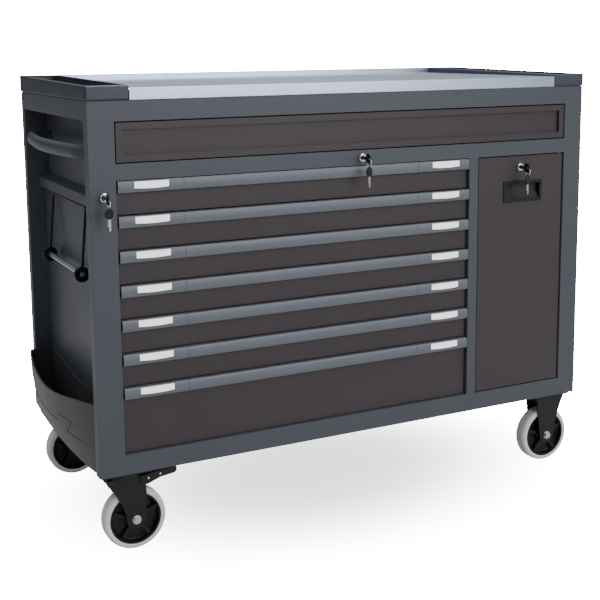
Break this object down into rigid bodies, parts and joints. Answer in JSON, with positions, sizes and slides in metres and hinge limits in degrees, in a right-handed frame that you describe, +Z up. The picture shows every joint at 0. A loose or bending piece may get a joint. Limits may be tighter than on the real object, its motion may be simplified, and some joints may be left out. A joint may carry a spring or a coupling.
{
  "type": "rolling tool chest",
  "caption": "Wide sheet-steel tool chest on castors, with a full-width drawer over a drawer bank and a side cupboard, a steel worktop between end trays, and a push handle.",
  "frame": {"origin": "on the floor under the middle of the whole chest's box", "axes": "+X to the right along the chest's length, seen from the front; +Y to the back; +Z up; the drawer fronts face -Y"},
  "size_m": [1.2916, 0.602, 0.9993],
  "materials": {
    "body_paint": "dark grey powder coat, satin",
    "front_paint": "warm charcoal powder coat, satin",
    "pull_plastic": "blue-grey moulded plastic, satin",
    "stainless": "brushed stainless sheet",
    "tray_plastic": "dark blue-grey moulded plastic, fine texture",
    "zinc": "bright zinc plate",
    "chrome": "polished",
    "black_paint": "black powder coat",
    "black_plastic": "black moulded plastic",
    "tyre": "light grey non-marking rubber",
    "pocket_plastic": "charcoal moulded plastic"
  },
  "bodies": {
    "cabinet": {"front_frame": "body_paint", "side_panel_left": "body_paint", "side_panel_right": "body_paint", "back_panel": "body_paint", "base_pan": "body_paint", "divider_wall": "body_paint", "worktop": "stainless", "tray_left": "tray_plastic", "tray_right": "tray_plastic", "push_handle": "body_paint", "side_pocket": "pocket_plastic", "slide_rack_left": "zinc", "slide_rack_right": "zinc", "wide_slide_right": "zinc", "door_hinge_rod": "zinc", "cupboard_shelf": "body_paint", "lock_barrel_left": "chrome", "lock_barrel_middle": "chrome", "castor_plate_front_left": "black_paint", "castor_plate_rear_left": "black_paint", "castor_fork_front_right": "black_paint", "castor_axle_front_right": "zinc", "castor_fork_rear_right": "black_paint", "castor_axle_rear_right": "zinc"},
    "wide_drawer": {"wide_drawer": "front_paint"},
    "drawer_1": {"drawer_1": "front_paint", "drawer_pull_1": "pull_plastic"},
    "drawer_2": {"drawer_2": "front_paint", "drawer_pull_2": "pull_plastic"},
    "drawer_3": {"drawer_3": "front_paint", "drawer_pull_3": "pull_plastic"},
    "drawer_4": {"drawer_4": "front_paint", "drawer_pull_4": "pull_plastic"},
    "drawer_5": {"drawer_5": "front_paint", "drawer_pull_5": "pull_plastic"},
    "drawer_6": {"drawer_6": "front_paint", "drawer_pull_6": "pull_plastic"},
    "drawer_7": {"drawer_7": "front_paint", "drawer_pull_7": "pull_plastic"},
    "door": {"door_panel": "front_paint", "door_pull": "black_plastic", "lock_barrel_door": "chrome"},
    "key_left": {"lock_key_left": "black_plastic"},
    "key_middle": {"lock_key_middle": "black_plastic"},
    "key_door": {"lock_key_door": "black_plastic"},
    "roll_bail": {"roll_bail": "black_plastic"},
    "roll_spindle": {"roll_spindle": "zinc"},
    "swivel_front_left": {"castor_fork_front_left": "black_paint", "castor_axle_front_left": "zinc"},
    "swivel_rear_left": {"castor_fork_rear_left": "black_paint", "castor_axle_rear_left": "zinc"},
    "wheel_front_left": {"wheel_hub_front_left": "black_plastic", "wheel_tyre_front_left": "tyre"},
    "wheel_rear_left": {"wheel_hub_rear_left": "black_plastic", "wheel_tyre_rear_left": "tyre"},
    "wheel_front_right": {"wheel_hub_front_right": "black_plastic", "wheel_tyre_front_right": "tyre"},
    "wheel_rear_right": {"wheel_hub_rear_right": "black_plastic", "wheel_tyre_rear_right": "tyre"},
    "brake_pedal": {"brake_pedal": "black_paint"}
  },
  "joints": [
    {"name": "wide_drawer_slide", "type": "slide", "parent": "cabinet", "child": "wide_drawer", "axis": [0, -1, 0], "range_m": [0, 0.42]},
    {"name": "drawer_1_slide", "type": "slide", "parent": "cabinet", "child": "drawer_1", "axis": [0, -1, 0], "range_m": [0, 0.42]},
    {"name": "drawer_2_slide", "type": "slide", "parent": "cabinet", "child": "drawer_2", "axis": [0, -1, 0], "range_m": [0, 0.42]},
    {"name": "drawer_3_slide", "type": "slide", "parent": "cabinet", "child": "drawer_3", "axis": [0, -1, 0], "range_m": [0, 0.42]},
    {"name": "drawer_4_slide", "type": "slide", "parent": "cabinet", "child": "drawer_4", "axis": [0, -1, 0], "range_m": [0, 0.42]},
    {"name": "drawer_5_slide", "type": "slide", "parent": "cabinet", "child": "drawer_5", "axis": [0, -1, 0], "range_m": [0, 0.42]},
    {"name": "drawer_6_slide", "type": "slide", "parent": "cabinet", "child": "drawer_6", "axis": [0, -1, 0], "range_m": [0, 0.42]},
    {"name": "drawer_7_slide", "type": "slide", "parent": "cabinet", "child": "drawer_7", "axis": [0, -1, 0], "range_m": [0, 0.42]},
    {"name": "door_hinge", "type": "hinge", "parent": "cabinet", "child": "door", "pos_m": [0.58126, -0.2535, 0.511], "axis": [0, 0, 1], "range_deg": [0, 100]},
    {"name": "key_left_turn", "type": "hinge", "parent": "cabinet", "child": "key_left", "pos_m": [-0.57524, -0.263, 0.767], "axis": [0, 1, 0], "range_deg": [0, 90]},
    {"name": "key_middle_turn", "type": "hinge", "parent": "cabinet", "child": "key_middle", "pos_m": [0.01926, -0.263, 0.816], "axis": [0, 1, 0], "range_deg": [0, 90]},
    {"name": "key_door_turn", "type": "hinge", "parent": "door", "child": "key_door", "pos_m": [0.45876, -0.261, 0.77], "axis": [0, 1, 0], "range_deg": [0, 90]},
    {"name": "roll_bail_swing", "type": "hinge", "parent": "cabinet", "child": "roll_bail", "pos_m": [-0.57224, 0, 0.729], "axis": [0, 1, 0], "range_deg": [0, 90]},
    {"name": "roll_spindle_spin", "type": "hinge", "parent": "roll_bail", "child": "roll_spindle", "pos_m": [-0.58624, 0, 0.585], "axis": [0, 1, 0], "continuous": true},
    {"name": "swivel_front_left", "type": "hinge", "parent": "cabinet", "child": "swivel_front_left", "pos_m": [-0.54374, -0.221, 0.165], "axis": [0, 0, 1], "continuous": true},
    {"name": "swivel_rear_left", "type": "hinge", "parent": "cabinet", "child": "swivel_rear_left", "pos_m": [-0.54374, 0.257, 0.165], "axis": [0, 0, 1], "continuous": true},
    {"name": "wheel_spin_front_left", "type": "hinge", "parent": "swivel_front_left", "child": "wheel_front_left", "pos_m": [-0.52374, -0.221, 0.069], "axis": [0, 1, 0], "continuous": true},
    {"name": "wheel_spin_rear_left", "type": "hinge", "parent": "swivel_rear_left", "child": "wheel_rear_left", "pos_m": [-0.52374, 0.257, 0.069], "axis": [0, 1, 0], "continuous": true},
    {"name": "wheel_spin_front_right", "type": "hinge", "parent": "cabinet", "child": "wheel_front_right", "pos_m": [0.57476, -0.221, 0.069], "axis": [0, 1, 0], "continuous": true},
    {"name": "wheel_spin_rear_right", "type": "hinge", "parent": "cabinet", "child": "wheel_rear_right", "pos_m": [0.57476, 0.257, 0.069], "axis": [0, 1, 0], "continuous": true},
    {"name": "brake_pedal_tilt", "type": "hinge", "parent": "swivel_front_left", "child": "brake_pedal", "pos_m": [-0.50774, -0.221, 0.158], "axis": [0, 1, 0], "range_deg": [0, 12]}
  ]
}
